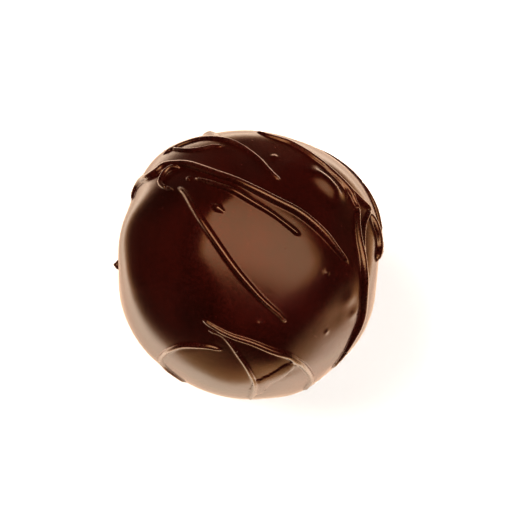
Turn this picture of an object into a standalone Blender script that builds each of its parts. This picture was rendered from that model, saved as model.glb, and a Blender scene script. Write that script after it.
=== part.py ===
"""A marzipan ball in a dark chocolate coat, with threads of chocolate drizzle over it.

The sweet is one solid: the coated ball, the drizzle that set on it and the lumps in its coat are
fused together. It stands on the round flat spot where its coat set. The origin is the middle of
that spot, +Z is up and the front is -Y.

A place on the ball is given on the ball's unrolled map as (right, back), in degrees of arc from
the crown: (90, 0) is its right side, (0, -90) its front, and 180 in any direction is the middle
of its foot. Widths, rises, depths and steps are in millimetres.
"""

import math
from typing import NamedTuple

import bmesh
import bpy
from mathutils import Vector

MM = 0.001

BALL_RADIUS = 15.0
FOOT_RADIUS = 6.0
FOOT_ROUNDING = 0.5
CENTRE_HEIGHT = math.sqrt(BALL_RADIUS**2 - FOOT_RADIUS**2)
FLAT_ROUNDING = 0.5
BALL_DIVISIONS = 5

THREAD_SIDES = 6
LUMP_SIDES = 10
ROUTE_STEP = 1.2
CURVE_STEPS = 24
SECTION_DEPTH = 1.2
END_SHARE = 0.6

CHOCOLATE_COLOUR = (0.045, 0.012, 0.006, 1)
CHOCOLATE_ROUGHNESS = 0.28


class Swell(NamedTuple):
    """A broad bulge of the coat, or a dip where rise is below zero, that fades out over spread."""

    right: float
    back: float
    rise: float
    spread: float


class Flat(NamedTuple):
    """A flatter face of the coat: a cap of a wider curve, depth below the round ball at its middle.

    rounding is how softly it turns into the flats listed before it.
    """

    right: float
    back: float
    depth: float
    curve: float
    rounding: float


class Thread(NamedTuple):
    """A run of drizzle, or a lump where it is short and wide.

    widths are spread evenly along the route, and proud is the height of the crest above the coat
    as a share of the width.
    """

    widths: tuple
    route: tuple
    proud: float = 0.65
    step: float = ROUTE_STEP
    sides: int = THREAD_SIDES


SWELLS = (
    Swell(91, -12, -0.70, 22),  # flat right side
    Swell(74, 38, 0.30, 18),  # shoulder, right and back
    Swell(16, 76, -0.50, 24),  # flat back
    Swell(-50, 59, 0.50, 16),  # shoulder, left and back
    Swell(-80, 26, -0.35, 18),  # flat left side
    Swell(-88, -5, -0.25, 20),
    Swell(-40, -88, 0.10, 30),  # fuller front
    Swell(25, -95, 0.25, 20),
)

FLATS = (
    Flat(5, -8, 1.15, 28, 0.3),  # crown
    Flat(22, 20, 0.95, 80, 0.3),  # upper right, with a crease to the crown under the long arc
    Flat(-23, 28, 1.05, 60, 0.4),  # upper left
    Flat(6, 36, 1.1, 80, 0.4),  # back of the crown
    Flat(-39, 2, 1.0, 90, 0.7),  # left
    Flat(-36, -28, 0.85, 80, 0.8),  # front left
    Flat(43, -41, 0.7, 36, 1.2),  # front right
    Flat(42, 8, 0.9, 90, 1.0),  # right
)

THREADS = {
    "long_arc": Thread(
        widths=(0.45, 0.75, 0.85, 0.85, 0.8, 0.8, 0.85, 0.9, 0.85, 0.5),
        route=(
            (-65, 30),
            (-64, 37),
            (-57.5, 38.5),
            (-51, 37),
            (-46, 38),
            (-42, 40.5),
            (-34.5, 39.5),
            (-29, 37.5),
            (-22, 33),
            (-10.5, 25),
            (0.5, 18),
            (10.5, 13),
            (21.5, 8),
            (32.5, 0.5),
            (39.5, -6),
            (45.5, -11.5),
        ),
    ),
    "second_arc": Thread(
        widths=(0.35, 0.6, 0.6, 0.5, 0.35, 0.45),
        route=(
            (-24.5, 27.5),
            (-18.5, 24),
            (-12.5, 20),
            (0.5, 12),
            (9, 7),
            (15.5, 2.5),
            (21.5, -2),
        ),
    ),
    "arc_knob": Thread(
        widths=(0.5, 0.55),
        route=((-29, 29), (-28, 27.5)),
        step=0.6,
    ),
    "hook": Thread(
        widths=(0.45, 0.45, 0.45, 0.4, 0.3, 0.25),
        route=(
            (-34.5, 37),
            (-38, 37.5),
            (-41, 35),
            (-42.5, 31),
            (-42.5, 28.5),
            (-40, 25.5),
            (-35.5, 23),
        ),
        proud=0.85,
        step=0.9,
    ),
    "diagonal": Thread(
        widths=(0.4, 0.65, 0.65, 0.65, 0.6, 0.5, 0.35),
        route=(
            (-32.5, 23.5),
            (-29.5, 20),
            (-27, 16),
            (-20.5, 5),
            (-11, -10),
            (-4.5, -19),
            (3.5, -28),
            (8.5, -32.5),
            (13, -36),
            (16, -39),
        ),
    ),
    "crown_edge": Thread(
        widths=(0.4, 0.4, 0.4, 0.35),
        route=((-40, 53), (-32, 49), (-26, 47.5), (-17.5, 47), (-12.5, 45.5)),
    ),
    "back_arc": Thread(
        widths=(0.4, 0.45, 0.5, 0.5, 0.4, 0.35, 0.3),
        route=(
            (-44, 51),
            (-37, 54),
            (-29.5, 56),
            (-22.5, 55.5),
            (-13.5, 51.5),
            (-4.5, 47),
            (4, 38.5),
            (10, 28.5),
            (13.5, 24),
        ),
    ),
    "back_cross": Thread(
        widths=(0.4, 0.5, 0.5, 0.4),
        route=((-32, 82), (-26, 74), (-20, 63), (-14.5, 52)),
    ),
    "right_arc": Thread(
        widths=(0.3, 0.5, 0.55, 0.6, 0.6, 0.6, 0.55),
        route=(
            (4, 61),
            (9, 57),
            (15, 54),
            (20.5, 51),
            (27, 45),
            (32.5, 39.5),
            (43.5, 31.5),
            (53.5, 25),
            (64, 20.5),
        ),
    ),
    "right_outer_arc": Thread(
        widths=(0.3, 0.3, 0.3, 0.3, 0.35, 0.7, 0.7),
        route=((20, 86), (34, 75), (46, 61), (57, 50), (67, 39), (75, 29), (79.5, 20), (80.5, 14)),
    ),
    "right_inner_arc": Thread(
        widths=(0.3, 0.5, 0.6, 0.5),
        route=((35.5, 37), (38.5, 34), (44.5, 30), (50, 25.5), (53, 21), (55.5, 18.5)),
    ),
    "right_fall": Thread(
        widths=(0.55, 0.7, 0.85, 0.9, 0.85, 0.8, 0.5, 0.4),
        route=(
            (55, 18.5),
            (54, 12),
            (54, 2.5),
            (54.5, -4),
            (55.5, -13.5),
            (59, -24),
            (62.5, -33.5),
            (63, -41),
            (61, -50),
            (58.5, -60),
            (55.5, -72),
        ),
    ),
    "right_twin": Thread(
        widths=(0.5, 0.45, 0.45, 0.35),
        route=((63, 20.5), (60, 14.5), (58, 9), (57, 2.5), (56.5, -5)),
    ),
    "right_drip": Thread(
        widths=(0.7, 0.9, 1.0, 1.0),
        route=((63, 18.5), (66, 13), (69.5, 7), (70.5, 1), (67.5, -6)),
        step=0.9,
    ),
    "front_long": Thread(
        widths=(0.35, 0.6, 0.65, 0.65, 0.5, 0.4),
        route=(
            (-20, -39),
            (-15, -41.5),
            (-7, -45.5),
            (1.5, -48.5),
            (10, -52),
            (18.5, -55.5),
            (23.5, -59),
            (29, -63.5),
            (35, -70.5),
            (38.5, -78),
            (37.5, -87),
        ),
    ),
    "front_fall": Thread(
        widths=(0.3, 0.45, 0.5, 0.45, 0.45),
        route=(
            (-17.5, -43),
            (-12.5, -44.5),
            (-9.5, -47.5),
            (-4.5, -56),
            (-0.5, -63),
            (3, -72),
            (3, -80),
            (0, -90),
        ),
    ),
    "front_branch": Thread(
        widths=(0.3, 0.35, 0.4),
        route=((20.5, -62.5), (13.5, -68), (7.5, -73), (4, -81)),
    ),
    "front_hook": Thread(
        widths=(0.45, 0.5, 0.5, 0.45, 0.45, 0.35),
        route=(
            (-13.5, -52.5),
            (-19.5, -51),
            (-32.5, -51.5),
            (-40.5, -54),
            (-46, -57),
            (-51, -61.5),
            (-53, -67.5),
            (-50.5, -75),
            (-45, -84),
        ),
    ),
    "rear_arc": Thread(
        widths=(0.4, 0.6, 0.65, 0.6, 0.6, 0.4),
        route=((-64, 62), (-50, 78), (-26, 90), (0, 93), (26, 90), (50, 78), (64, 62), (72, 50)),
    ),
    "rear_low_arc": Thread(
        widths=(0.35, 0.55, 0.6, 0.5, 0.35),
        route=((-70, 78), (-44, 98), (-10, 107), (30, 102), (60, 84)),
    ),
    "blister": Thread(
        widths=(1.4, 2.4, 2.4, 1.5),
        route=((29, 29), (34, 26.5), (39, 23.5), (43, 20.5)),
        proud=0.22,
        sides=LUMP_SIDES,
    ),
    "nub": Thread(
        widths=(0.6, 0.85, 0.6),
        route=((-16, 11.5), (-13.5, 9), (-10.5, 7)),
        proud=0.45,
        step=0.6,
    ),
    "bead": Thread(
        widths=(1.0, 1.1, 1.0),
        route=((-90, 0), (-90.5, -1.5), (-90, -3)),
        proud=0.7,
        step=0.6,
    ),
}


def on_ball(right, back):
    """Unit direction from the ball's centre to a place on its unrolled map."""
    right = math.radians(right)
    back = math.radians(back)
    drop = math.hypot(right, back)
    shrink = math.sin(drop) / drop if drop > 0 else 1
    return Vector((right * shrink, back * shrink, math.cos(drop)))


def smooth_min(a, b, rounding):
    """The smaller of two lengths, with the corner where they meet rounded."""
    blend = max(rounding - abs(a - b), 0) / rounding
    return min(a, b) - rounding * blend**2 / 4


def flat_reach(flat, direction):
    """Distance in millimetres from the ball's centre to a flat, along a unit direction."""
    level = direction.dot(on_ball(flat.right, flat.back))
    lever = flat.curve - BALL_RADIUS + flat.depth
    return math.sqrt(flat.curve**2 - lever**2 * (1 - level**2)) - lever * level


def coat_radius(direction):
    """Distance in millimetres from the ball's centre to its coat, along a unit direction."""
    radius = BALL_RADIUS
    for swell in SWELLS:
        away = math.degrees(direction.angle(on_ball(swell.right, swell.back)))
        radius += swell.rise * math.exp(-((away / swell.spread) ** 2))
    faces = 2 * BALL_RADIUS
    for flat in FLATS:
        faces = smooth_min(faces, flat_reach(flat, direction), flat.rounding)
    radius = smooth_min(radius, faces, FLAT_ROUNDING)
    if direction.z < 0:
        radius = smooth_min(radius, CENTRE_HEIGHT / -direction.z, FOOT_ROUNDING)
    return radius


def coat_point(direction, above=0):
    """Point at a height above the coat, in millimetres, with the foot's middle at the origin."""
    return direction * (coat_radius(direction) + above) + Vector((0, 0, CENTRE_HEIGHT))


def catmull_rom(points, part):
    """Point at part, from 0 to 1, along a smooth curve through points."""
    place = min(part, 1) * (len(points) - 1)
    index = min(int(place), len(points) - 2)
    t = place - index
    p1, p2 = points[index], points[index + 1]
    p0 = points[index - 1] if index else p1 * 2 - p2
    p3 = points[index + 2] if index + 2 < len(points) else p2 * 2 - p1
    bend = (p0 * 2 - p1 * 5 + p2 * 4 - p3) * t**2
    twist = (p1 * 3 - p0 - p2 * 3 + p3) * t**3
    return (p1 * 2 + (p2 - p0) * t + bend + twist) / 2


def spread_width(widths, part):
    """Width at part, from 0 to 1, of a thread whose widths are spread evenly along it."""
    place = part * (len(widths) - 1)
    index = min(int(place), len(widths) - 2)
    return widths[index] + (widths[index + 1] - widths[index]) * (place - index)


def even_directions(thread):
    """Directions at even steps along a thread's route."""
    waypoints = [Vector(place) for place in thread.route]
    count = CURVE_STEPS * (len(waypoints) - 1)
    fine = [on_ball(*catmull_rom(waypoints, i / count)) for i in range(count + 1)]
    run = [0]
    for before, after in zip(fine, fine[1:]):
        run.append(run[-1] + BALL_RADIUS * (after - before).length)
    steps = max(2, round(run[-1] / thread.step))
    picked = []
    index = 0
    for step in range(steps + 1):
        goal = run[-1] * step / steps
        while index < count - 1 and run[index + 1] < goal:
            index += 1
        share = (goal - run[index]) / (run[index + 1] - run[index])
        picked.append(fine[index].lerp(fine[index + 1], share).normalized())
    return picked, run[-1]


def section_ring(mesh, direction, tangent, width, proud, sides):
    """One ring of a thread: an oval that stands proud of the coat and is sunk into it below."""
    side = tangent.cross(direction).normalized()
    half_width = width / 2
    half_height = min(half_width, width * proud * SECTION_DEPTH)
    centre = coat_point(direction, width * proud - half_height)
    ring = []
    for i in range(sides):
        angle = 2 * math.pi * i / sides
        across = side * (half_width * math.sin(angle))
        upward = direction * (half_height * math.cos(angle))
        ring.append(mesh.verts.new((centre + across + upward) * MM))
    return ring


def join_rings(mesh, ring, following):
    """Faces between one ring and the next."""
    for i, vertex in enumerate(ring):
        after = (i + 1) % len(ring)
        mesh.faces.new((vertex, ring[after], following[after], following[i]))


def close_end(mesh, ring, direction):
    """A blunt end of a thread: a fan from its last ring to a point just beyond it."""
    middle = sum((vertex.co for vertex in ring), Vector()) / len(ring)
    reach = max((vertex.co - middle).length for vertex in ring) / 2
    tip = mesh.verts.new(middle + direction * reach)
    for i, vertex in enumerate(ring):
        mesh.faces.new((vertex, ring[(i + 1) % len(ring)], tip))


def thread_object(name, thread, collection):
    """One closed tube of drizzle along its route, sunk in the coat below its crest."""
    directions, length = even_directions(thread)
    last = len(directions) - 1
    mesh = bmesh.new()
    rings = []
    tangents = []
    for i, direction in enumerate(directions):
        tangent = directions[min(i + 1, last)] - directions[max(i - 1, 0)]
        width = spread_width(thread.widths, i / last)
        to_end = min(i, last - i) * length / last
        rounding = min(1, END_SHARE + to_end / width)
        ring = section_ring(mesh, direction, tangent, width * rounding, thread.proud, thread.sides)
        rings.append(ring)
        tangents.append(tangent.normalized())
    for ring, following in zip(rings, rings[1:]):
        join_rings(mesh, ring, following)
    close_end(mesh, rings[0], -tangents[0])
    close_end(mesh, rings[-1], tangents[-1])
    bmesh.ops.recalc_face_normals(mesh, faces=mesh.faces)
    data = bpy.data.meshes.new(name)
    mesh.to_mesh(data)
    mesh.free()
    collection.objects.link(bpy.data.objects.new(name, data))


def ball_object(name):
    """The coated ball without its drizzle, flat where it stands."""
    mesh = bmesh.new()
    bmesh.ops.create_icosphere(mesh, subdivisions=BALL_DIVISIONS, radius=1)
    for vertex in mesh.verts:
        vertex.co = coat_point(vertex.co.normalized()) * MM
    data = bpy.data.meshes.new(name)
    mesh.to_mesh(data)
    mesh.free()
    ball = bpy.data.objects.new(name, data)
    bpy.context.scene.collection.objects.link(ball)
    return ball


def fuse(ball, collection):
    """Joins the collection's objects to the ball in one union, and removes them."""
    union = ball.modifiers.new("drizzle", "BOOLEAN")
    union.operation = "UNION"
    union.operand_type = "COLLECTION"
    union.collection = collection
    bpy.context.view_layer.update()
    graph = bpy.context.evaluated_depsgraph_get()
    fused = bpy.data.meshes.new_from_object(ball.evaluated_get(graph))
    ball.modifiers.clear()
    ball.data = fused
    for helper in list(collection.objects):
        bpy.data.objects.remove(helper)
    bpy.data.collections.remove(collection)


def dark_chocolate():
    """Set dark chocolate with a soft gloss."""
    material = bpy.data.materials.new("dark_chocolate")
    material.use_nodes = True
    shader = material.node_tree.nodes["Principled BSDF"]
    shader.inputs["Base Color"].default_value = CHOCOLATE_COLOUR
    shader.inputs["Roughness"].default_value = CHOCOLATE_ROUGHNESS
    shader.inputs["Metallic"].default_value = 0
    return material


def main():
    for old in list(bpy.data.objects):
        bpy.data.objects.remove(old, do_unlink=True)
    drizzle = bpy.data.collections.new("drizzle")
    bpy.context.scene.collection.children.link(drizzle)
    for name, thread in THREADS.items():
        thread_object(name, thread, drizzle)
    ball = ball_object("marzipan_ball")
    fuse(ball, drizzle)
    ball.data.shade_smooth()
    ball.data.materials.clear()
    ball.data.materials.append(dark_chocolate())


main()
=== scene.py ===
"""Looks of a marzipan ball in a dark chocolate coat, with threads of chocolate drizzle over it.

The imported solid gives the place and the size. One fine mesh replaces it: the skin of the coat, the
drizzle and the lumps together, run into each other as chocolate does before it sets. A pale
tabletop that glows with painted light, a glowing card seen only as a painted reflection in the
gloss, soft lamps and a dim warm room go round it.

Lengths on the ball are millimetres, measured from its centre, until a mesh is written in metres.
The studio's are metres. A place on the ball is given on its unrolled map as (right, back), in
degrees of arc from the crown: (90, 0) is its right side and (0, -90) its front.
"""

import logging
import math
from dataclasses import dataclass, field
from enum import Enum

import bmesh
import bpy
import numpy as np
from mathutils import Matrix, Vector


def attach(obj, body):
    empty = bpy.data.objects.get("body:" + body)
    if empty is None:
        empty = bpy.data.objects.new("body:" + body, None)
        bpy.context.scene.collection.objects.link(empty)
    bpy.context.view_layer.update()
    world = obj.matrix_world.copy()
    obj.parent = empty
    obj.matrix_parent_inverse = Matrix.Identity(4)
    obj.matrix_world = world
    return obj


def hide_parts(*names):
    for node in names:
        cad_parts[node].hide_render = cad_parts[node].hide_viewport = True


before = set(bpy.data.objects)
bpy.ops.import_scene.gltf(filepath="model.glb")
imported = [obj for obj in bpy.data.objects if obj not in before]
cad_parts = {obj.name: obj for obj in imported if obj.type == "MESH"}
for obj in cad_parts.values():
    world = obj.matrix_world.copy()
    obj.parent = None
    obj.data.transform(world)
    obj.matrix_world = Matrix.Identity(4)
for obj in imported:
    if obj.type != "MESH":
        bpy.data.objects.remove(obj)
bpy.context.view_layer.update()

LOG = logging.getLogger("marzipan_ball")
MM = 0.001
NODE = "marzipan_ball"
TINY = 1e-9  # keeps a divisor off zero
SIDES = [[0, 1], [1, 2], [2, 0]]  # the corners at the ends of a face's three sides


class Run(Enum):
    """What a raised run of chocolate is. The value is how softly its foot melts into the coat."""

    DRIZZLE = 0.22
    LUMP = 0.55
    FINE = 0.12


@dataclass(frozen=True)
class Swell:
    """A bulge of the coat, or a dip where rise is below zero, that fades out over spread degrees."""

    right: float
    back: float
    rise: float
    spread: float


@dataclass(frozen=True)
class Flat:
    """A flattened face of the ball: a cap of a wider curve, cut depth below the ball at its middle.

    curve is that cap's radius, and rounding is how softly it turns into the flats listed before it.
    """

    right: float
    back: float
    depth: float
    curve: float
    rounding: float


@dataclass(frozen=True)
class Thread:
    """A raised run of chocolate on the coat.

    widths are spread evenly along the route, and proud is the height of the crest above the coat
    as a share of the width.
    """

    widths: tuple[float, ...]
    route: tuple[tuple[float, float], ...]
    proud: float = 0.65
    run: Run = Run.DRIZZLE


SWELLS = (
    Swell(91, -12, -0.70, 22),  # flat right side
    Swell(74, 38, 0.30, 18),  # shoulder, right and back
    Swell(16, 76, -0.50, 24),  # flat back
    Swell(-50, 59, 0.50, 16),  # shoulder, left and back
    Swell(-80, 26, -0.35, 18),  # flat left side
    Swell(-88, -5, -0.25, 20),
    Swell(-40, -88, 0.10, 30),  # fuller front
    Swell(25, -95, 0.25, 20),
)

FLATS = (
    Flat(5, -8, 1.15, 28, 0.3),  # crown
    Flat(22, 20, 0.95, 80, 0.3),  # upper right, with a crease to the crown under the long arc
    Flat(-23, 28, 1.05, 60, 0.4),  # upper left
    Flat(6, 36, 1.1, 80, 0.4),  # back of the crown
    Flat(-39, 2, 1.0, 90, 0.7),  # left
    Flat(-36, -28, 0.85, 80, 0.8),  # front left
    Flat(43, -41, 0.7, 36, 1.2),  # front right
    Flat(42, 8, 0.9, 90, 1.0),  # right
)

BUMPS = (
    Swell(31.5, 29.5, 0.48, 4.2),  # blister, a ridge made of three
    Swell(36, 26.5, 0.54, 4.2),
    Swell(40.5, 23, 0.48, 4.0),
    Swell(12, 40, 0.16, 1.3),  # specks
    Swell(34.5, -17.5, 0.15, 1.3),
    Swell(40, -46, 0.05, 1.1),
    Swell(4, -40, 0.12, 1.1),
    Swell(15, -38, 0.12, 1.1),
    Swell(50, -28, 0.10, 3.5),  # uneven coat beside the right thread
    Swell(56, -36, 0.08, 2.5),
    Swell(44, -38, -0.05, 5.0),
    Swell(48, -14, 0.04, 5.0),
    Swell(12, -59, 0.14, 7.0),  # soft waves at the front
    Swell(17, -72, 0.05, 4.0),
)

THREADS = {
    "long_arc": Thread(
        (0.45, 0.75, 0.85, 0.85, 0.8, 0.8, 0.85, 0.9, 0.85, 0.5),
        (
            (-65, 30),
            (-64, 37),
            (-57.5, 38.5),
            (-51, 37),
            (-46, 38),
            (-42, 40.5),
            (-34.5, 39.5),
            (-29, 37.5),
            (-22, 33),
            (-10.5, 25),
            (0.5, 18),
            (10.5, 13),
            (21.5, 8),
            (32.5, 0.5),
            (39.5, -6),
            (45.5, -11.5),
        ),
    ),
    "second_arc": Thread(
        (0.35, 0.6, 0.6, 0.5, 0.35, 0.45),
        ((-24.5, 27.5), (-18.5, 24), (-12.5, 20), (0.5, 12), (9, 7), (15.5, 2.5), (21.5, -2)),
    ),
    "arc_knob": Thread(
        (0.5, 0.55),
        ((-29, 29), (-28, 27.5)),
    ),
    "hook": Thread(
        (0.5, 0.6, 0.6, 0.55, 0.45, 0.3),
        (
            (-34.5, 37),
            (-38, 37.5),
            (-41, 35),
            (-42.5, 31),
            (-42.5, 28.5),
            (-40, 25.5),
            (-35.5, 23),
        ),
        proud=0.9,
        run=Run.FINE,
    ),
    "diagonal": Thread(
        (0.4, 0.65, 0.65, 0.65, 0.6, 0.5, 0.35),
        (
            (-32.5, 23.5),
            (-29.5, 20),
            (-27, 16),
            (-20.5, 5),
            (-11, -10),
            (-4.5, -19),
            (3.5, -28),
            (8.5, -32.5),
            (13, -36),
            (16, -39),
        ),
    ),
    "crown_edge": Thread(
        (0.4, 0.4, 0.4, 0.35),
        ((-40, 53), (-32, 49), (-26, 47.5), (-17.5, 47), (-12.5, 45.5)),
    ),
    "back_arc": Thread(
        (0.4, 0.45, 0.5, 0.5, 0.4, 0.35, 0.3),
        (
            (-44, 51),
            (-37, 54),
            (-29.5, 56),
            (-22.5, 55.5),
            (-13.5, 51.5),
            (-4.5, 47),
            (4, 38.5),
            (10, 28.5),
            (13.5, 24),
        ),
    ),
    "back_cross": Thread(
        (0.4, 0.5, 0.5, 0.4),
        ((-32, 82), (-26, 74), (-20, 63), (-14.5, 52)),
    ),
    "right_arc": Thread(
        (0.3, 0.5, 0.55, 0.6, 0.6, 0.6, 0.55),
        (
            (4, 61),
            (9, 57),
            (15, 54),
            (20.5, 51),
            (27, 45),
            (32.5, 39.5),
            (43.5, 31.5),
            (53.5, 25),
            (64, 20.5),
        ),
    ),
    "right_outer_arc": Thread(
        (0.3, 0.3, 0.3, 0.3, 0.35, 0.7, 0.7),
        ((20, 86), (34, 75), (46, 61), (57, 50), (67, 39), (75, 29), (79.5, 20), (80.5, 14)),
    ),
    "right_inner_arc": Thread(
        (0.3, 0.5, 0.6, 0.5),
        ((35.5, 37), (38.5, 34), (44.5, 30), (50, 25.5), (53, 21), (55.5, 18.5)),
    ),
    "right_fall": Thread(
        (0.55, 0.7, 0.85, 0.9, 0.85, 0.8, 0.5, 0.4),
        (
            (55, 18.5),
            (54, 12),
            (54, 2.5),
            (54.5, -4),
            (55.5, -13.5),
            (59, -24),
            (62.5, -33.5),
            (63, -41),
            (61, -50),
            (58.5, -60),
            (55.5, -72),
        ),
    ),
    "right_twin": Thread(
        (0.5, 0.45, 0.45, 0.35),
        ((63, 20.5), (60, 14.5), (58, 9), (57, 2.5), (56.5, -5)),
    ),
    "right_drip": Thread(
        (0.7, 0.9, 1.0, 1.0),
        ((63, 18.5), (66, 13), (69.5, 7), (70.5, 1), (67.5, -6)),
    ),
    "front_long": Thread(
        (0.35, 0.6, 0.65, 0.65, 0.5, 0.4),
        (
            (-20, -39),
            (-15, -41.5),
            (-7, -45.5),
            (1.5, -48.5),
            (10, -52),
            (18.5, -55.5),
            (23.5, -59),
            (29, -63.5),
            (35, -70.5),
            (38.5, -78),
            (37.5, -87),
        ),
    ),
    "front_fall": Thread(
        (0.25, 0.35, 0.4, 0.4, 0.45),
        (
            (-17.5, -43),
            (-12.5, -44.5),
            (-9.5, -47.5),
            (-4.5, -56),
            (-0.5, -63),
            (3, -72),
            (3, -80),
            (0, -90),
        ),
    ),
    "front_branch": Thread(
        (0.4, 0.5, 0.5),
        ((20.5, -62.5), (13.5, -68), (7.5, -73), (4, -81)),
        proud=0.07,
        run=Run.LUMP,
    ),
    "front_hook": Thread(
        (0.45, 0.5, 0.5, 0.45, 0.45, 0.35),
        (
            (-13.5, -52.5),
            (-19.5, -51),
            (-32.5, -51.5),
            (-40.5, -54),
            (-46, -57),
            (-51, -61.5),
            (-53, -67.5),
            (-50.5, -75),
            (-45, -84),
        ),
    ),
    "rear_arc": Thread(
        (0.4, 0.6, 0.65, 0.6, 0.6, 0.4),
        ((-64, 62), (-50, 78), (-26, 90), (0, 93), (26, 90), (50, 78), (64, 62), (72, 50)),
    ),
    "rear_low_arc": Thread(
        (0.35, 0.55, 0.6, 0.5, 0.35),
        ((-70, 78), (-44, 98), (-10, 107), (30, 102), (60, 84)),
    ),
    "nub": Thread(
        (0.6, 0.9, 0.6),
        ((-15, 10.5), (-13, 8.8), (-10.8, 7.2)),
        proud=0.4,
    ),
    "bead": Thread(
        (1.2, 1.4, 1.2),
        ((-90, 0.5), (-90.5, -1.5), (-90, -3.5)),
        proud=0.75,
    ),
    "blister_rim": Thread(
        (0.2, 0.3, 0.3, 0.2),
        ((36, 35), (40.5, 32.5), (44, 29.5), (47, 26), (47.5, 22.5)),
        proud=0.45,
        run=Run.FINE,
    ),
}


def on_ball(right: float, back: float) -> np.ndarray:
    """Finds the direction from the ball's centre to a place on its unrolled map.

    Args:
        right: Degrees of arc to the right of the crown.
        back: Degrees of arc behind the crown.

    Returns:
        The direction, one long.
    """
    right, back = math.radians(right), math.radians(back)
    drop = math.hypot(right, back)
    shrink = math.sin(drop) / drop if drop > 0 else 1.0
    return np.array((right * shrink, back * shrink, math.cos(drop)))


def unit(vectors: np.ndarray) -> np.ndarray:
    """The vectors, each made one long."""
    return vectors / np.linalg.norm(vectors, axis=-1, keepdims=True)


def smooth_min(a: np.ndarray, b: np.ndarray, rounding: float) -> np.ndarray:
    """The smaller of two lengths, with the corner where they meet rounded.

    Args:
        a: Lengths.
        b: Lengths to set against them.
        rounding: How near the two are where the rounding starts.

    Returns:
        The blended lengths.
    """
    blend = np.maximum(rounding - np.abs(a - b), 0) / rounding
    return np.minimum(a, b) - rounding * blend**2 / 4


def catmull_rom(points: np.ndarray, parts: np.ndarray) -> np.ndarray:
    """Points along a smooth curve through given points.

    Args:
        points: The points that the curve goes through, one a row.
        parts: Places along the curve, from 0 to 1.

    Returns:
        One point a row for each part.
    """
    padded = np.vstack((2 * points[0] - points[1], points, 2 * points[-1] - points[-2]))
    place = parts * (len(points) - 1)
    index = np.minimum(place.astype(int), len(points) - 2)
    t = (place - index)[:, None]
    p0, p1, p2, p3 = (padded[index + i] for i in range(4))
    bend = (2 * p0 - 5 * p1 + 4 * p2 - p3) * t**2
    twist = (3 * p1 - p0 - 3 * p2 + p3) * t**3
    return (2 * p1 + (p2 - p0) * t + bend + twist) / 2


@dataclass
class Coat:
    """The chocolate coat of the ball, without the drizzle.

    The ball swells and dips a little, some broad faces of it are flattened, and small bumps lie
    over those. It stands on a round flat spot, whose foot_radius is taken before its edge is
    rounded. The ripples are the faint waviness that a poured coat sets with.
    """

    ball_radius: float = 15.0
    foot_radius: float = 6.0
    foot_rounding: float = 0.5
    swells: tuple[Swell, ...] = SWELLS
    flats: tuple[Flat, ...] = FLATS
    bumps: tuple[Swell, ...] = BUMPS
    flat_rounding: float = 0.5
    ripple_count: int = 14
    ripple_lengths: tuple[float, float] = (4.0, 12.0)
    ripple_slope: float = 0.0036
    ripple_seed: int = 7

    @property
    def centre_height(self) -> float:
        """Height of the ball's centre over the table."""
        return math.sqrt(self.ball_radius**2 - self.foot_radius**2)

    def ripples(self, directions: np.ndarray) -> np.ndarray:
        """Works out the coat's faint waviness from seeded random waves.

        Args:
            directions: Unit directions from the ball's centre, one a row.

        Returns:
            How far the waves raise the coat along each direction.
        """
        draw = np.random.default_rng(self.ripple_seed)
        height = np.zeros(len(directions))
        for _ in range(self.ripple_count):
            length = draw.uniform(*self.ripple_lengths)
            wave = unit(draw.normal(size=3)) * (2 * math.pi / length)
            phase = draw.uniform(0, 2 * math.pi)
            height += length * self.ripple_slope * np.sin(directions @ wave * self.ball_radius + phase)
        return height

    @staticmethod
    def raised(directions: np.ndarray, swells: tuple[Swell, ...]) -> np.ndarray:
        """Adds up what swells do to the coat.

        Args:
            directions: Unit directions from the ball's centre, one a row.
            swells: The swells, dips or bumps.

        Returns:
            How far they raise the coat along each direction.
        """
        rise = np.zeros(len(directions))
        for swell in swells:
            level = directions @ on_ball(swell.right, swell.back)
            away = np.degrees(np.arccos(np.clip(level, -1, 1)))
            rise += swell.rise * np.exp(-((away / swell.spread) ** 2))
        return rise

    def flat_reach(self, flat: Flat, directions: np.ndarray) -> np.ndarray:
        """Works out how far off the cap of a flattened face lies.

        Args:
            flat: The flattened face.
            directions: Unit directions from the ball's centre, one a row.

        Returns:
            Distance from the ball's centre to the cap along each direction.
        """
        level = directions @ on_ball(flat.right, flat.back)
        lever = flat.curve - self.ball_radius + flat.depth
        return np.sqrt(flat.curve**2 - lever**2 * (1 - level**2)) - lever * level

    def radius(self, directions: np.ndarray) -> np.ndarray:
        """Works out where the coat's surface is.

        Args:
            directions: Unit directions from the ball's centre, one a row.

        Returns:
            Distance from the ball's centre to the coat along each direction.
        """
        radius = self.ball_radius + self.ripples(directions) + self.raised(directions, self.swells)
        faces = np.full(len(directions), 2 * self.ball_radius)  # farther out than any cap
        for flat in self.flats:
            faces = smooth_min(faces, self.flat_reach(flat, directions), flat.rounding)
        radius = smooth_min(radius, faces, self.flat_rounding) + self.raised(directions, self.bumps)
        foot = self.centre_height / np.maximum(-directions[:, 2], TINY)
        return smooth_min(radius, foot, self.foot_rounding)


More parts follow.
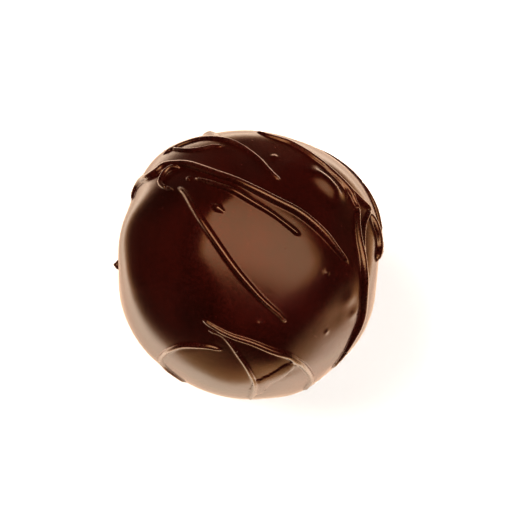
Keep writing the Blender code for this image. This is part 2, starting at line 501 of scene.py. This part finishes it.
@dataclass
class Strand:
    """A thread laid on the coat: its middle line, and its oval section along it.

    melt is how softly its foot runs into the coat, and group is how many steps are tested at once.
    """

    centres: np.ndarray
    ups: np.ndarray
    half_widths: np.ndarray
    half_heights: np.ndarray
    melt: float
    group: int = 8

    @property
    def reach(self) -> float:
        """How far from the middle line the strand still changes the skin."""
        return float(self.half_widths.max()) + 2 * self.melt

    def distance(self, points: np.ndarray) -> np.ndarray:
        """Measures how far points are from the strand.

        Args:
            points: Places, one a row.

        Returns:
            Distance to the strand's skin, below zero inside it, and infinite far from it.
        """
        distance = np.full(len(points), np.inf)
        low, high = self.centres.min(0) - self.reach, self.centres.max(0) + self.reach
        boxed = np.flatnonzero(((points > low) & (points < high)).all(1))
        inside = points[boxed]
        for start in range(0, len(self.centres) - 1, self.group):
            stop = min(start + self.group, len(self.centres) - 1)
            middle = self.centres[start : stop + 1].mean(0)
            spread = np.linalg.norm(self.centres[start : stop + 1] - middle, axis=1).max()
            near = np.flatnonzero(((inside - middle) ** 2).sum(1) < (spread + self.reach) ** 2)
            if near.size:
                found = self.stretch_distance(inside[near], start, stop)
                distance[boxed[near]] = np.minimum(distance[boxed[near]], found)
        return distance

    def stretch_distance(self, points: np.ndarray, start: int, stop: int) -> np.ndarray:
        """Measures how far points are from one stretch of the strand.

        Args:
            points: Places near the stretch, one a row.
            start: The first of its middle points.
            stop: The last of them.

        Returns:
            Distance to the stretch's skin, below zero inside it.
        """
        first, along = self.centres[start:stop], np.diff(self.centres[start : stop + 1], axis=0)
        offset = points[:, None] - first
        part = np.clip((offset * along).sum(-1) / (along**2).sum(-1), 0, 1)
        offset = offset - part[..., None] * along
        nearest = (offset**2).sum(-1).argmin(1)
        rows = np.arange(len(points))
        part, offset, index = part[rows, nearest], offset[rows, nearest], start + nearest
        up = unit(self.between(self.ups, index, part[:, None]))
        half_width = self.between(self.half_widths, index, part)
        half_height = self.between(self.half_heights, index, part)
        height = (offset * up).sum(1)
        across = np.sqrt(np.maximum((offset**2).sum(1) - height**2, 0))
        level = np.hypot(across / half_width, height / half_height)
        steepness = np.hypot(across / half_width**2, height / half_height**2)
        return level * (level - 1) / np.maximum(steepness, TINY)

    @staticmethod
    def between(values: np.ndarray, index: np.ndarray, part: np.ndarray) -> np.ndarray:
        """Values a part of the way from each index to the one after it."""
        return values[index] * (1 - part) + values[index + 1] * part


@dataclass
class Drizzle:
    """All the raised runs of chocolate, laid on the coat in order.

    Each is worked out in steps along its route, and narrows at its ends over taper widths to
    end_share of its width.
    """

    coat: Coat
    threads: dict[str, Thread] = field(default_factory=THREADS.copy)
    curve_parts: int = 40
    step: float = 0.3
    fewest_steps: int = 3
    section_depth: float = 1.2
    taper: float = 1.5
    end_share: float = 0.35
    strands: list[Strand] = field(default_factory=list)

    def lay(self) -> None:
        """Lays every thread on the coat."""
        for name, thread in self.threads.items():
            self.strands.append(self.strand(thread))
            LOG.info("laid %s, %d steps", name, len(self.strands[-1].centres))

    def strand(self, thread: Thread) -> Strand:
        """Works out where a thread's middle line runs and how thick it is along it.

        Args:
            thread: The run of chocolate.

        Returns:
            The same run, laid on the coat.
        """
        waypoints = np.array(thread.route, float)
        fine = catmull_rom(waypoints, np.linspace(0, 1, self.curve_parts * len(waypoints)))
        fine = np.array([on_ball(*place) for place in fine])
        run = np.concatenate(([0], np.cumsum(np.linalg.norm(np.diff(fine, axis=0), axis=1))))
        length = run[-1] * self.coat.ball_radius
        count = max(self.fewest_steps, round(length / self.step))
        even = np.linspace(0, run[-1], count)
        ups = unit(np.column_stack([np.interp(even, run, fine[:, axis]) for axis in range(3)]))
        parts = even / run[-1]
        stations = np.linspace(0, 1, len(thread.widths))
        widths = np.interp(parts, stations, thread.widths)
        to_end = np.minimum(even, run[-1] - even) * self.coat.ball_radius
        bluntness = np.clip(to_end / (self.taper * widths), 0, 1)
        widths = widths * np.sqrt(np.maximum(1 - (1 - bluntness) ** 2, self.end_share**2))
        half_widths = widths / 2
        half_heights = np.minimum(half_widths, widths * thread.proud * self.section_depth)
        level = self.coat.radius(ups) + widths * thread.proud - half_heights
        return Strand(ups * level[:, None], ups, half_widths, half_heights, thread.run.value)


@dataclass
class Skin:
    """The outer surface of coat and drizzle melted together, and the fine mesh of it.

    It starts as an even ball start_margin outside the coat, whose points walk in by walk_share of
    the height left in each step. Then each round halves the edges that are longer than fine_edge
    within near of the drizzle and of bumps narrower than small_bump degrees, or than coarse_edge
    beyond far. In the relaxing rounds each point slides by slide_share of the way to the middle
    of its neighbours. A settling point moves no farther than longest_move along any axis at once.
    """

    coat: Coat
    drizzle: Drizzle
    start_divisions: int = 6
    fine_edge: float = 0.15
    coarse_edge: float = 0.6
    near: float = 0.25
    far: float = 1.5
    small_bump: float = 3.0
    bump_spreads: float = 2.0
    rounds: int = 4
    relax_rounds: int = 4
    slide_share: float = 0.5
    start_margin: float = 2.0
    walk_steps: int = 26
    walk_share: float = 0.75
    settle_rounds: int = 2
    last_settle_rounds: int = 3
    least_slope: float = 0.5
    longest_move: float = 0.15
    probe: float = 0.02

    def level(self, points: np.ndarray) -> np.ndarray:
        """Measures how high points are over the skin.

        Args:
            points: Places, one a row.

        Returns:
            Height of each: zero on the skin and below zero inside.
        """
        span = np.linalg.norm(points, axis=1)
        height = span - self.coat.radius(points / span[:, None])
        for strand in self.drizzle.strands:
            height = smooth_min(height, strand.distance(points), strand.melt)
        return height

    def thread_distance(self, points: np.ndarray) -> np.ndarray:
        """Measures how far points are from the drizzle.

        Args:
            points: Places, one a row.

        Returns:
            Distance from each to the nearest raised run's skin.
        """
        distance = np.full(len(points), np.inf)
        for strand in self.drizzle.strands:
            distance = np.minimum(distance, strand.distance(points))
        return distance

    def slope(self, points: np.ndarray) -> np.ndarray:
        """Finds which way, and how fast, the level rises, from four probes round each point.

        Args:
            points: Places, one a row.

        Returns:
            The slope at each.
        """
        corners = np.array(((1, -1, -1), (-1, -1, 1), (-1, 1, -1), (1, 1, 1)), float)
        rises = (corner * self.level(points + corner * self.probe)[:, None] for corner in corners)
        return sum(rises) / (len(corners) * self.probe)

    def walk_in(self, directions: np.ndarray) -> np.ndarray:
        """Finds where the skin is first met from outside.

        Args:
            directions: Unit directions from the ball's centre, one a row.

        Returns:
            A point on the skin along each direction.
        """
        span = np.full(len(directions), self.coat.ball_radius + self.start_margin)
        for _ in range(self.walk_steps):
            span -= self.walk_share * self.level(directions * span[:, None])
        return directions * span[:, None]

    def settle(self, points: np.ndarray, rounds: int) -> np.ndarray:
        """Moves points onto the skin along its own slope.

        Args:
            points: Places near the skin, one a row.
            rounds: How many times they are moved.

        Returns:
            The moved points.
        """
        for _ in range(rounds):
            slope = self.slope(points)
            steep = np.maximum((slope**2).sum(1), self.least_slope**2)
            move = slope * (self.level(points) / steep)[:, None]
            points = points - np.clip(move, -self.longest_move, self.longest_move)
        return points

    def edge_goal(self, points: np.ndarray) -> np.ndarray:
        """Works out how long an edge may be: short on and beside the drizzle and small bumps.

        Args:
            points: The middles of edges, one a row.

        Returns:
            The longest edge allowed at each.
        """
        distance = self.thread_distance(points)
        for bump in self.coat.bumps:
            if bump.spread < self.small_bump:
                reach = self.bump_spreads * math.radians(bump.spread) * self.coat.ball_radius
                middle = on_ball(bump.right, bump.back) * self.coat.ball_radius
                distance = np.minimum(distance, np.linalg.norm(points - middle, axis=1) - reach)
        away = np.clip((distance - self.near) / (self.far - self.near), 0, 1)
        return self.fine_edge + (self.coarse_edge - self.fine_edge) * away

    def refine(self, points: np.ndarray, faces: np.ndarray) -> tuple[np.ndarray, np.ndarray]:
        """Halves every edge that is too long for its place, and divides its faces.

        Args:
            points: The mesh's points, one a row.
            faces: Its faces, three corners a row.

        Returns:
            The points and faces of the finer mesh.
        """
        sides = np.sort(faces[:, SIDES].reshape(-1, 2), axis=1)
        key, inverse = np.unique(sides[:, 0] * len(points) + sides[:, 1], return_inverse=True)
        ends = np.column_stack((key // len(points), key % len(points)))
        middle = points[ends].mean(1)
        length = np.linalg.norm(points[ends[:, 0]] - points[ends[:, 1]], axis=1)
        long = length > self.edge_goal(middle)
        added = np.full(len(key), -1)
        added[long] = len(points) + np.arange(long.sum())
        cuts = added[inverse].reshape(-1, 3)
        new_points = np.vstack((points, self.settle(middle[long], self.settle_rounds)))
        return new_points, self.split_faces(faces, cuts, new_points)

    @staticmethod
    def split_faces(faces: np.ndarray, cuts: np.ndarray, points: np.ndarray) -> np.ndarray:
        """Divides faces at their cut sides.

        Args:
            faces: Three corners a row.
            cuts: For the sides 0-1, 1-2 and 2-0 of each face, the new corner on it, or -1.
            points: The places of all corners.

        Returns:
            The new faces, turned as the old ones are.
        """
        count = (cuts >= 0).sum(1)
        made = [faces[count == 0]]
        a, b, c = faces[count == 3].T
        ab, bc, ca = cuts[count == 3].T
        made += [np.column_stack(t) for t in ((a, ab, ca), (ab, b, bc), (ca, bc, c), (ab, bc, ca))]
        for turn in range(3):
            corners, marks = np.roll(faces, -turn, axis=1), np.roll(cuts, -turn, axis=1)
            one = (count == 1) & (marks[:, 0] >= 0)
            a, b, c = corners[one].T
            ab = marks[one, 0]
            made += [np.column_stack(t) for t in ((a, ab, c), (ab, b, c))]
            two = (count == 2) & (marks[:, 2] < 0)
            a, b, c = corners[two].T
            ab, bc = marks[two, 0], marks[two, 1]
            made.append(np.column_stack((ab, b, bc)))
            gap = np.linalg.norm(points[ab] - points[c], axis=1)
            other = np.linalg.norm(points[a] - points[bc], axis=1)
            short = gap < other
            for t in ((a, ab, c), (ab, bc, c)):
                made.append(np.column_stack(t)[short])
            for t in ((a, ab, bc), (a, bc, c)):
                made.append(np.column_stack(t)[~short])
        return np.vstack(made)

    def relax(self, points: np.ndarray, faces: np.ndarray) -> np.ndarray:
        """Evens out the mesh by sliding its points along the skin.

        Args:
            points: The mesh's points, one a row.
            faces: Its faces, three corners a row.

        Returns:
            The moved points.
        """
        sides = faces[:, SIDES].reshape(-1, 2)
        total = np.zeros_like(points)
        count = np.bincount(sides[:, 0], minlength=len(points))
        np.add.at(total, sides[:, 0], points[sides[:, 1]])
        move = total / count[:, None] - points
        normal = unit(self.normals(points, faces))
        move -= (move * normal).sum(1, keepdims=True) * normal
        return points + self.slide_share * move

    @staticmethod
    def normals(points: np.ndarray, faces: np.ndarray) -> np.ndarray:
        """Adds up the normals of the faces round each point, larger faces counting for more.

        Args:
            points: The mesh's points, one a row.
            faces: Its faces, three corners a row.

        Returns:
            The sum at each point.
        """
        a, b, c = (points[faces[:, i]] for i in range(3))
        face_normals = np.cross(b - a, c - a)
        total = np.zeros_like(points)
        for i in range(3):
            np.add.at(total, faces[:, i], face_normals)
        return total

    def build(self) -> tuple[np.ndarray, np.ndarray]:
        """Makes the mesh.

        Returns:
            The points in millimetres from the ball's centre, and the faces.
        """
        ball = bmesh.new()
        bmesh.ops.create_icosphere(ball, subdivisions=self.start_divisions, radius=1)
        directions = unit(np.array([vertex.co for vertex in ball.verts]))
        faces = np.array([[vertex.index for vertex in face.verts] for face in ball.faces])
        ball.free()
        points = self.walk_in(directions)
        for _ in range(self.rounds):
            points, faces = self.refine(points, faces)
        for _ in range(self.relax_rounds):
            points = self.relax(points, faces)
        return self.settle(points, self.last_settle_rounds), faces


def linear(hex_colour: str, strength: float = 1.0) -> tuple[float, float, float, float]:
    """Turns an sRGB hex colour to a linear one.

    Args:
        hex_colour: The colour, such as "3b1d14".
        strength: What its light is multiplied by.

    Returns:
        Red, green, blue and an alpha of one.
    """
    parts = [int(hex_colour[i : i + 2], 16) / 255 for i in (0, 2, 4)]
    light = [part / 12.92 if part <= 0.04045 else ((part + 0.055) / 1.055) ** 2.4 for part in parts]
    return (*(strength * part for part in light), 1.0)


def add_node(
    tree: bpy.types.NodeTree, kind: str, links: dict | None = None, **settings: object
) -> bpy.types.Node:
    """Adds a node with its settings and links.

    Args:
        tree: The material's or world's nodes.
        kind: The node's type.
        links: For each input, by name or number, a value or the output that feeds it.
        **settings: The node's own properties.

    Returns:
        The node.
    """
    node = tree.nodes.new(kind)
    for name, value in settings.items():
        setattr(node, name, value)
    for name, value in (links or {}).items():
        if isinstance(value, bpy.types.NodeSocket):
            tree.links.new(value, node.inputs[name])
        else:
            node.inputs[name].default_value = value
    return node


@dataclass(frozen=True)
class Pattern:
    """Uneven patches, size_mm across. detail is how many finer layers lie in them."""

    size_mm: float
    detail: float


@dataclass(frozen=True)
class TemperedChocolate:
    """Dark couverture, tempered and poured, that set in still air.

    Its cocoa butter sets in fine crystals, so the eye sees a deep red-brown body under a satin
    sheen with soft edges, and a barely paler cloud of bloom here and there. The thin drizzle
    reflects more strongly than the coat, so each thread has a bright line along it. The crystals
    are far too fine to show, so the grain is drawn much coarser than they are.
    """

    body_colour: str = "2a0a06"
    bloom_colour: str = "330e08"
    deep_colour: str = "200603"
    deep_place: float = 0.36
    body_place: float = 0.5
    bloom_place: float = 0.64
    refraction: float = 1.55
    coat_roughness: float = 0.25
    drizzle_roughness: float = 0.28
    roughness_spread: float = 0.05
    coat_gloss: float = 0.5
    drizzle_gloss: float = 1.0
    cloud: Pattern = Pattern(6.0, 4.0)
    grain: Pattern = Pattern(0.3, 3.0)
    orange_peel: Pattern = Pattern(1.6, 2.0)
    grain_share: float = 0.45
    grain_height_mm: float = 0.004
    orange_peel_height_mm: float = 0.010

    def material(self) -> bpy.types.Material:
        """Builds the material.

        Returns:
            The material.
        """
        material = bpy.data.materials.new("tempered_dark_chocolate")
        material.use_nodes = True
        tree = material.node_tree
        shader = tree.nodes["Principled BSDF"]
        shader.inputs["IOR"].default_value = self.refraction
        place = add_node(tree, "ShaderNodeTexCoord").outputs["Object"]
        patches = []
        for pattern in (self.cloud, self.grain, self.orange_peel):
            links = {"Vector": place, "Scale": 1 / (pattern.size_mm * MM), "Detail": pattern.detail}
            patches.append(add_node(tree, "ShaderNodeTexNoise", links).outputs["Fac"])
        cloud, grain, peel = patches
        tree.links.new(self.mottle(tree, cloud, grain), shader.inputs["Base Color"])
        tree.links.new(self.relief(tree, grain, peel), shader.inputs["Normal"])
        drizzle = add_node(tree, "ShaderNodeAttribute", attribute_name="drizzle").outputs["Fac"]
        blends = []
        for share, least, most in (
            (drizzle, self.coat_roughness, self.drizzle_roughness),
            (grain, -self.roughness_spread, self.roughness_spread),
            (drizzle, self.coat_gloss, self.drizzle_gloss),
        ):
            links = {"Value": share, "To Min": least, "To Max": most}
            blends.append(add_node(tree, "ShaderNodeMapRange", links).outputs[0])
        satin, uneven, gloss = blends
        rough = add_node(tree, "ShaderNodeMath", {0: satin, 1: uneven}, operation="ADD").outputs[0]
        tree.links.new(rough, shader.inputs["Roughness"])
        tree.links.new(gloss, shader.inputs["Specular IOR Level"])
        return material

    def mottle(
        self, tree: bpy.types.NodeTree, cloud: bpy.types.NodeSocket, grain: bpy.types.NodeSocket
    ) -> bpy.types.NodeSocket:
        """Mixes the chocolate's colour, from deep to bloomed.

        Args:
            tree: The material's nodes.
            cloud: The broad patches.
            grain: The fine ones.

        Returns:
            The colour.
        """
        mixed = add_node(tree, "ShaderNodeMix", {0: self.grain_share, 2: cloud, 3: grain}).outputs[0]
        ramp = add_node(tree, "ShaderNodeValToRGB", {"Fac": mixed})
        deep, bloom = ramp.color_ramp.elements
        deep.position = self.deep_place
        deep.color = linear(self.deep_colour)
        bloom.position = self.bloom_place
        bloom.color = linear(self.bloom_colour)
        body = ramp.color_ramp.elements.new(self.body_place)
        body.color = linear(self.body_colour)
        return ramp.outputs["Color"]

    def relief(
        self, tree: bpy.types.NodeTree, grain: bpy.types.NodeSocket, peel: bpy.types.NodeSocket
    ) -> bpy.types.NodeSocket:
        """Makes the chocolate's shallow relief, grain over orange peel.

        Args:
            tree: The material's nodes.
            grain: The fine patches.
            peel: The patches of the orange peel.

        Returns:
            The changed normal.
        """
        links = {"Height": peel, "Distance": self.orange_peel_height_mm * MM, "Strength": 1.0}
        peeled = add_node(tree, "ShaderNodeBump", links).outputs["Normal"]
        links = {"Height": grain, "Distance": self.grain_height_mm * MM, "Strength": 1.0}
        return add_node(tree, "ShaderNodeBump", {**links, "Normal": peeled}).outputs["Normal"]


@dataclass
class MarzipanBall:
    """The coated and drizzled ball as one piece.

    Its drizzle mask is one on the threads, and fades to zero over drizzle_fade beside them.
    """

    coat: Coat = field(default_factory=Coat)
    finish: TemperedChocolate = field(default_factory=TemperedChocolate)
    name: str = "chocolate_coated_ball"
    drizzle_fade: float = 0.12

    def build(self) -> bpy.types.Object:
        """Returns:
            The piece.
        """
        drizzle = Drizzle(self.coat)
        drizzle.lay()
        skin = Skin(self.coat, drizzle)
        points, faces = skin.build()
        mesh = bpy.data.meshes.new(self.name)
        placed = (points + np.array((0, 0, self.coat.centre_height))) * MM
        mesh.from_pydata(placed.tolist(), [], faces.tolist())
        mesh.shade_smooth()
        mask = mesh.attributes.new("drizzle", "FLOAT", "POINT")
        away = np.clip(skin.thread_distance(points) / self.drizzle_fade, 0, 1)
        mask.data.foreach_set("value", (1 - away).astype(np.float32))
        mesh.materials.append(self.finish.material())
        piece = bpy.data.objects.new(self.name, mesh)
        bpy.context.scene.collection.objects.link(piece)
        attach(piece, "root")
        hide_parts(NODE)
        LOG.info("%s: %d points, %d faces", self.name, len(points), len(faces))
        return piece


@dataclass(frozen=True)
class MattLaminate:
    """Pale melamine laminate, pressed matt.

    It scatters light evenly and has little gloss, so the eye sees only the ball's faint shadow on
    it. It also glows with painted light, a little by the ball and more so far from it, as if large
    windows stood over it there.
    """

    colour: str = "a6a6a6"
    roughness: float = 0.6
    glow_colour: str = "ffffff"
    near_glow: float = 0.06
    far_glow: float = 1.05
    glow_reach: tuple[float, float] = (0.06, 0.25)

    def material(self) -> bpy.types.Material:
        """Builds the material.

        Returns:
            The material.
        """
        material = bpy.data.materials.new("matt_pale_laminate")
        material.use_nodes = True
        tree = material.node_tree
        shader = tree.nodes["Principled BSDF"]
        shader.inputs["Base Color"].default_value = linear(self.colour)
        shader.inputs["Roughness"].default_value = self.roughness
        shader.inputs["Emission Color"].default_value = linear(self.glow_colour)
        place = add_node(tree, "ShaderNodeTexCoord").outputs["Object"]
        away = add_node(tree, "ShaderNodeVectorMath", {0: place}, operation="LENGTH").outputs["Value"]
        near, far = self.glow_reach
        links = {
            "Value": away,
            "From Min": near,
            "From Max": far,
            "To Min": self.near_glow,
            "To Max": self.far_glow,
        }
        # painted light: the table glows, faintly by the ball and more strongly far from it
        glow = add_node(tree, "ShaderNodeMapRange", links).outputs[0]
        tree.links.new(glow, shader.inputs["Emission Strength"])
        return material


@dataclass(frozen=True)
class PaintedReflectionGlow:
    """A glowing card: painted light standing in for a white card under strong light.

    The ball's gloss alone shows it, as a painted reflection: the pale band near the ball's edge. Its
    glow is dimmer and browner close to the ball, as painted shade where the ball would shade it.
    """

    near_painted_shade_colour: str = "ffe5ce"
    near_painted_shade_strength: float = 2.1
    far_painted_light_colour: str = "ffedd9"
    far_painted_light_strength: float = 5.9
    middle: tuple[float, float, float] = (0.0, 0.008, 0.0)
    reach: tuple[float, float] = (0.026, 0.042)

    def material(self) -> bpy.types.Material:
        """Builds the material.

        Returns:
            The material.
        """
        material = bpy.data.materials.new("painted_reflection_glow")
        material.use_nodes = True
        tree = material.node_tree
        tree.nodes.remove(tree.nodes["Principled BSDF"])
        place = add_node(tree, "ShaderNodeTexCoord").outputs["Object"]
        apart = {0: place, 1: self.middle}
        away = add_node(tree, "ShaderNodeVectorMath", apart, operation="DISTANCE").outputs["Value"]
        near, far = self.reach
        links = {"Value": away, "From Min": near, "From Max": far}
        share = add_node(tree, "ShaderNodeMapRange", links).outputs[0]
        # painted shade close to the ball, fading out to brighter painted light farther away
        colours = {
            0: share,
            6: linear(self.near_painted_shade_colour, self.near_painted_shade_strength),
            7: linear(self.far_painted_light_colour, self.far_painted_light_strength),
        }
        colour = add_node(tree, "ShaderNodeMix", colours, data_type="RGBA").outputs[2]
        # the card glows though it is no lamp: painted light, seen only as a painted reflection
        light = add_node(tree, "ShaderNodeEmission", {"Color": colour}).outputs[0]
        tree.links.new(light, tree.nodes["Material Output"].inputs["Surface"])
        return material


def floor_sheet(
    name: str, edges: tuple[float, float, float, float], material: bpy.types.Material
) -> bpy.types.Object:
    """Lays a flat sheet on the studio's floor.

    Args:
        name: What it is called.
        edges: Where its left, right, front and back edges are, in metres.
        material: What it is made of.

    Returns:
        The sheet.
    """
    left, right, front, back = edges
    corners = [(left, front, 0), (right, front, 0), (right, back, 0), (left, back, 0)]
    mesh = bpy.data.meshes.new(name)
    mesh.from_pydata(corners, [], [(0, 1, 2, 3)])
    mesh.materials.append(material)
    sheet = bpy.data.objects.new(name, mesh)
    bpy.context.scene.collection.objects.link(sheet)
    LOG.info("%s laid", name)
    return sheet


@dataclass
class Tabletop:
    """The tabletop that the ball stands on. The ball's gloss shows the glowing card's painted
    reflection instead.
    """

    size: float = 6.0
    finish: MattLaminate = field(default_factory=MattLaminate)

    def build(self) -> None:
        """Lays the tabletop."""
        half = self.size / 2
        top = floor_sheet("tabletop", (-half, half, -half, half), self.finish.material())
        top.visible_glossy = False


@dataclass
class PaintedReflectionCard:
    """The glowing card round the ball's foot: painted light that only the gloss shows, as a painted
    reflection.
    """

    edges: tuple[float, float, float, float] = (-0.055, 0.044, -0.037, 0.07)
    finish: PaintedReflectionGlow = field(default_factory=PaintedReflectionGlow)

    def build(self) -> None:
        """Lays the card."""
        card = floor_sheet("painted_reflection_card", self.edges, self.finish.material())
        # only the gloss sees this glowing card, so it shows as a painted reflection
        card.visible_camera = False
        card.visible_diffuse = False
        card.visible_shadow = False


@dataclass(frozen=True)
class Softbox:
    """A flat lamp aimed at the ball. Its place and size are metres, and turned is degrees.

    mirrored is whether gloss shows it, lights is whether it lights matt surfaces, and shades is
    whether what it lights throws a shadow.
    """

    name: str
    place: tuple[float, float, float]
    width: float
    depth: float
    power: float
    colour: str
    turned: float = 0.0
    mirrored: bool = True
    lights: bool = True
    shades: bool = True

    def build(self, aim: Vector) -> None:
        """Hangs the lamp where it is and points it.

        Args:
            aim: The place that it points at.
        """
        lamp = bpy.data.lights.new(self.name, "AREA")
        lamp.shape = "RECTANGLE"
        lamp.size = self.width
        lamp.size_y = self.depth
        lamp.energy = self.power
        lamp.color = linear(self.colour)[:3]
        lamp.use_shadow = self.shades
        softbox = bpy.data.objects.new(self.name, lamp)
        bpy.context.scene.collection.objects.link(softbox)
        softbox.visible_glossy = self.mirrored
        softbox.visible_diffuse = self.lights
        away = (Vector(self.place) - aim).normalized()
        across = Vector((0, 1, 0)).cross(away).normalized()
        across.rotate(Matrix.Rotation(math.radians(self.turned), 3, away))
        turn = Matrix((across, away.cross(across), away)).transposed().to_4x4()
        softbox.matrix_world = Matrix.Translation(self.place) @ turn
        LOG.info("%s hung", self.name)


LAMPS = (
    Softbox(  # the bright middle of the sheen
        name="overhead_softbox",
        place=(0.034, 0.008, 0.23),
        width=0.27,
        depth=0.13,
        power=0.18,
        colour="ffffff",
        turned=-15,
        lights=False,
    ),
    Softbox(  # the sheen's wide brown edge
        name="outer_softbox",
        place=(0.036, 0.014, 0.232),
        width=0.44,
        depth=0.18,
        power=0.94,
        colour="ffd38e",
        turned=-15,
        lights=False,
    ),
    Softbox(  # the light that throws the faint shadow
        name="side_softbox",
        place=(-0.30, 0.12, 0.40),
        width=0.38,
        depth=0.38,
        power=7.2,
        colour="ffefda",
        mirrored=False,
    ),
    Softbox(  # what lifts the rest of the table
        name="fill_softbox",
        place=(0.28, -0.12, 0.36),
        width=0.30,
        depth=0.30,
        power=6.9,
        colour="fffdfb",
        mirrored=False,
        shades=False,
    ),
)


@dataclass(frozen=True)
class Room:
    """The dim room: nearly dark overhead and warm brown below, over a white backdrop.

    floorward is how steeply a view points down where the brown starts, and where it is full, each
    as the sine of its fall.
    """

    colour: str = "ffce90"
    floorward: tuple[float, float] = (0.14, 0.4)
    floor_strength: float = 3.4
    ceiling_strength: float = 0.02
    backdrop_colour: str = "ffffff"

    def build(self) -> None:
        """Builds the world round the studio."""
        world = bpy.data.worlds.new("room")
        bpy.context.scene.world = world
        world.use_nodes = True
        tree = world.node_tree
        way = add_node(tree, "ShaderNodeTexCoord").outputs["Generated"]
        down = {0: way, 1: (0.0, 0.0, -1.0)}
        lowness = add_node(tree, "ShaderNodeVectorMath", down, operation="DOT_PRODUCT").outputs["Value"]
        start, full = self.floorward
        links = {
            "Value": lowness,
            "From Min": start,
            "From Max": full,
            "To Min": self.ceiling_strength,
            "To Max": self.floor_strength,
        }
        strength = add_node(
            tree, "ShaderNodeMapRange", links, interpolation_type="SMOOTHSTEP"
        ).outputs[0]
        room = tree.nodes["Background"]
        room.inputs["Color"].default_value = linear(self.colour)
        tree.links.new(strength, room.inputs["Strength"])
        backdrop = add_node(tree, "ShaderNodeBackground", {"Color": linear(self.backdrop_colour)})
        seen = add_node(tree, "ShaderNodeLightPath").outputs["Is Camera Ray"]
        shown = {0: seen, 1: room.outputs[0], 2: backdrop.outputs[0]}
        mixed = add_node(tree, "ShaderNodeMixShader", shown).outputs[0]
        tree.links.new(mixed, tree.nodes["World Output"].inputs["Surface"])
        LOG.info("room built")


@dataclass(frozen=True)
class Viewpoint:
    """The camera, in front of the ball and high above it, and how its picture is developed.

    The distance, the aim beside the ball's centre and nearest are metres.
    """

    elevation: float = 75.0
    distance: float = 0.200
    aim_right: float = 0.00074
    aim_up: float = 0.00073
    nearest: float = 0.01
    lens_mm: float = 126.6
    sensor_mm: float = 36.0
    gamma: float = 0.65

    def build(self, centre: Vector) -> None:
        """Sets up the camera and its picture.

        Args:
            centre: The ball's centre.
        """
        camera = bpy.data.objects.new("camera", bpy.data.cameras.new("camera"))
        bpy.context.scene.collection.objects.link(camera)
        camera.data.lens = self.lens_mm
        camera.data.sensor_width = self.sensor_mm
        camera.data.clip_start = self.nearest
        turn = Matrix.Rotation(math.radians(90 - self.elevation), 4, "X")
        aim = Vector((self.aim_right, self.aim_up, self.distance))
        camera.matrix_world = Matrix.Translation(centre) @ turn @ Matrix.Translation(aim)
        scene = bpy.context.scene
        scene.camera = camera
        scene.view_settings.view_transform = "Standard"
        scene.view_settings.look = "None"
        scene.view_settings.exposure = 0.0
        scene.view_settings.gamma = self.gamma
        LOG.info("camera set")


def main() -> None:
    """Builds the ball and then the studio round it."""
    logging.basicConfig(level=logging.INFO, format="%(message)s")
    ball = MarzipanBall()
    ball.build()
    centre = Vector((0, 0, ball.coat.centre_height * MM))
    Tabletop().build()
    PaintedReflectionCard().build()
    for lamp in LAMPS:
        lamp.build(centre)
    Room().build()
    Viewpoint().build(centre)


if __name__ == "__main__":
    main()
